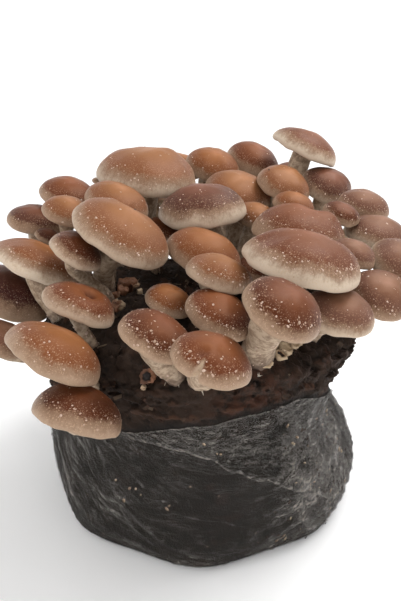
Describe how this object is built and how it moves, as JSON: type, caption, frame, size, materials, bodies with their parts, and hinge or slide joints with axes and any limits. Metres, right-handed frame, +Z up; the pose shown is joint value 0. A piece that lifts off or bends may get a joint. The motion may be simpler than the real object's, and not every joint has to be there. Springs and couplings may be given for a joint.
{
  "type": "shiitake grow kit",
  "caption": "Bagged block of dark sawdust substrate, its open top and shoulders crowded with brown domed mushrooms on bent stems.",
  "frame": {"origin": "middle of the bag's flat base, on the surface it stands on", "axes": "+Z up, -Y towards the front that the picture shows, +X to the right of someone who looks at that front"},
  "size_m": [0.2473, 0.2612, 0.2068],
  "materials": {
    "bag_film": "wrinkled cloudy film",
    "substrate": "rough, dark, fibrous",
    "skin_golden": "soft felted skin with pale scales",
    "skin_brown": "soft felted skin with pale scales",
    "skin_red_brown": "soft felted skin with pale scales",
    "skin_mauve": "soft felted skin with pale scales",
    "skin_tan": "soft felted skin with pale scales"
  },
  "bodies": {
    "root": {"bag": "bag_film", "substrate_block": "substrate", "mushroom_front_1": "skin_golden", "mushroom_front_2": "skin_brown", "mushroom_front_3": "skin_red_brown", "mushroom_front_4": "skin_mauve", "mushroom_front_5": "skin_tan", "mushroom_front_6": "skin_golden", "mushroom_front_7": "skin_brown", "mushroom_front_8": "skin_red_brown", "mushroom_front_9": "skin_mauve", "mushroom_front_10": "skin_tan", "mushroom_left_1": "skin_golden", "mushroom_left_2": "skin_brown", "mushroom_left_3": "skin_red_brown", "mushroom_left_4": "skin_mauve", "mushroom_left_5": "skin_tan", "mushroom_left_6": "skin_golden", "mushroom_left_7": "skin_brown", "mushroom_left_8": "skin_red_brown", "mushroom_left_9": "skin_mauve", "mushroom_left_10": "skin_tan", "mushroom_left_11": "skin_golden", "mushroom_left_12": "skin_brown", "mushroom_left_13": "skin_red_brown", "mushroom_right_1": "skin_mauve", "mushroom_right_2": "skin_tan", "mushroom_right_3": "skin_golden", "mushroom_right_4": "skin_brown", "mushroom_right_5": "skin_red_brown", "mushroom_right_6": "skin_mauve", "mushroom_crown_1": "skin_tan", "mushroom_crown_2": "skin_golden", "mushroom_crown_3": "skin_brown", "mushroom_crown_4": "skin_red_brown", "mushroom_crown_5": "skin_mauve", "mushroom_crown_6": "skin_tan", "mushroom_crown_7": "skin_golden", "mushroom_crown_8": "skin_brown", "mushroom_crown_9": "skin_red_brown", "mushroom_crown_10": "skin_mauve", "mushroom_crown_11": "skin_tan", "mushroom_crown_12": "skin_golden", "mushroom_crown_13": "skin_brown", "mushroom_crown_14": "skin_red_brown", "mushroom_crown_15": "skin_mauve", "mushroom_back_1": "skin_tan", "mushroom_back_2": "skin_golden", "mushroom_back_3": "skin_brown", "mushroom_back_4": "skin_red_brown", "mushroom_back_5": "skin_mauve", "mushroom_back_6": "skin_tan", "mushroom_back_7": "skin_golden", "mushroom_back_8": "skin_brown", "mushroom_back_9": "skin_red_brown", "mushroom_back_10": "skin_mauve"}
  },
  "joints": []
}
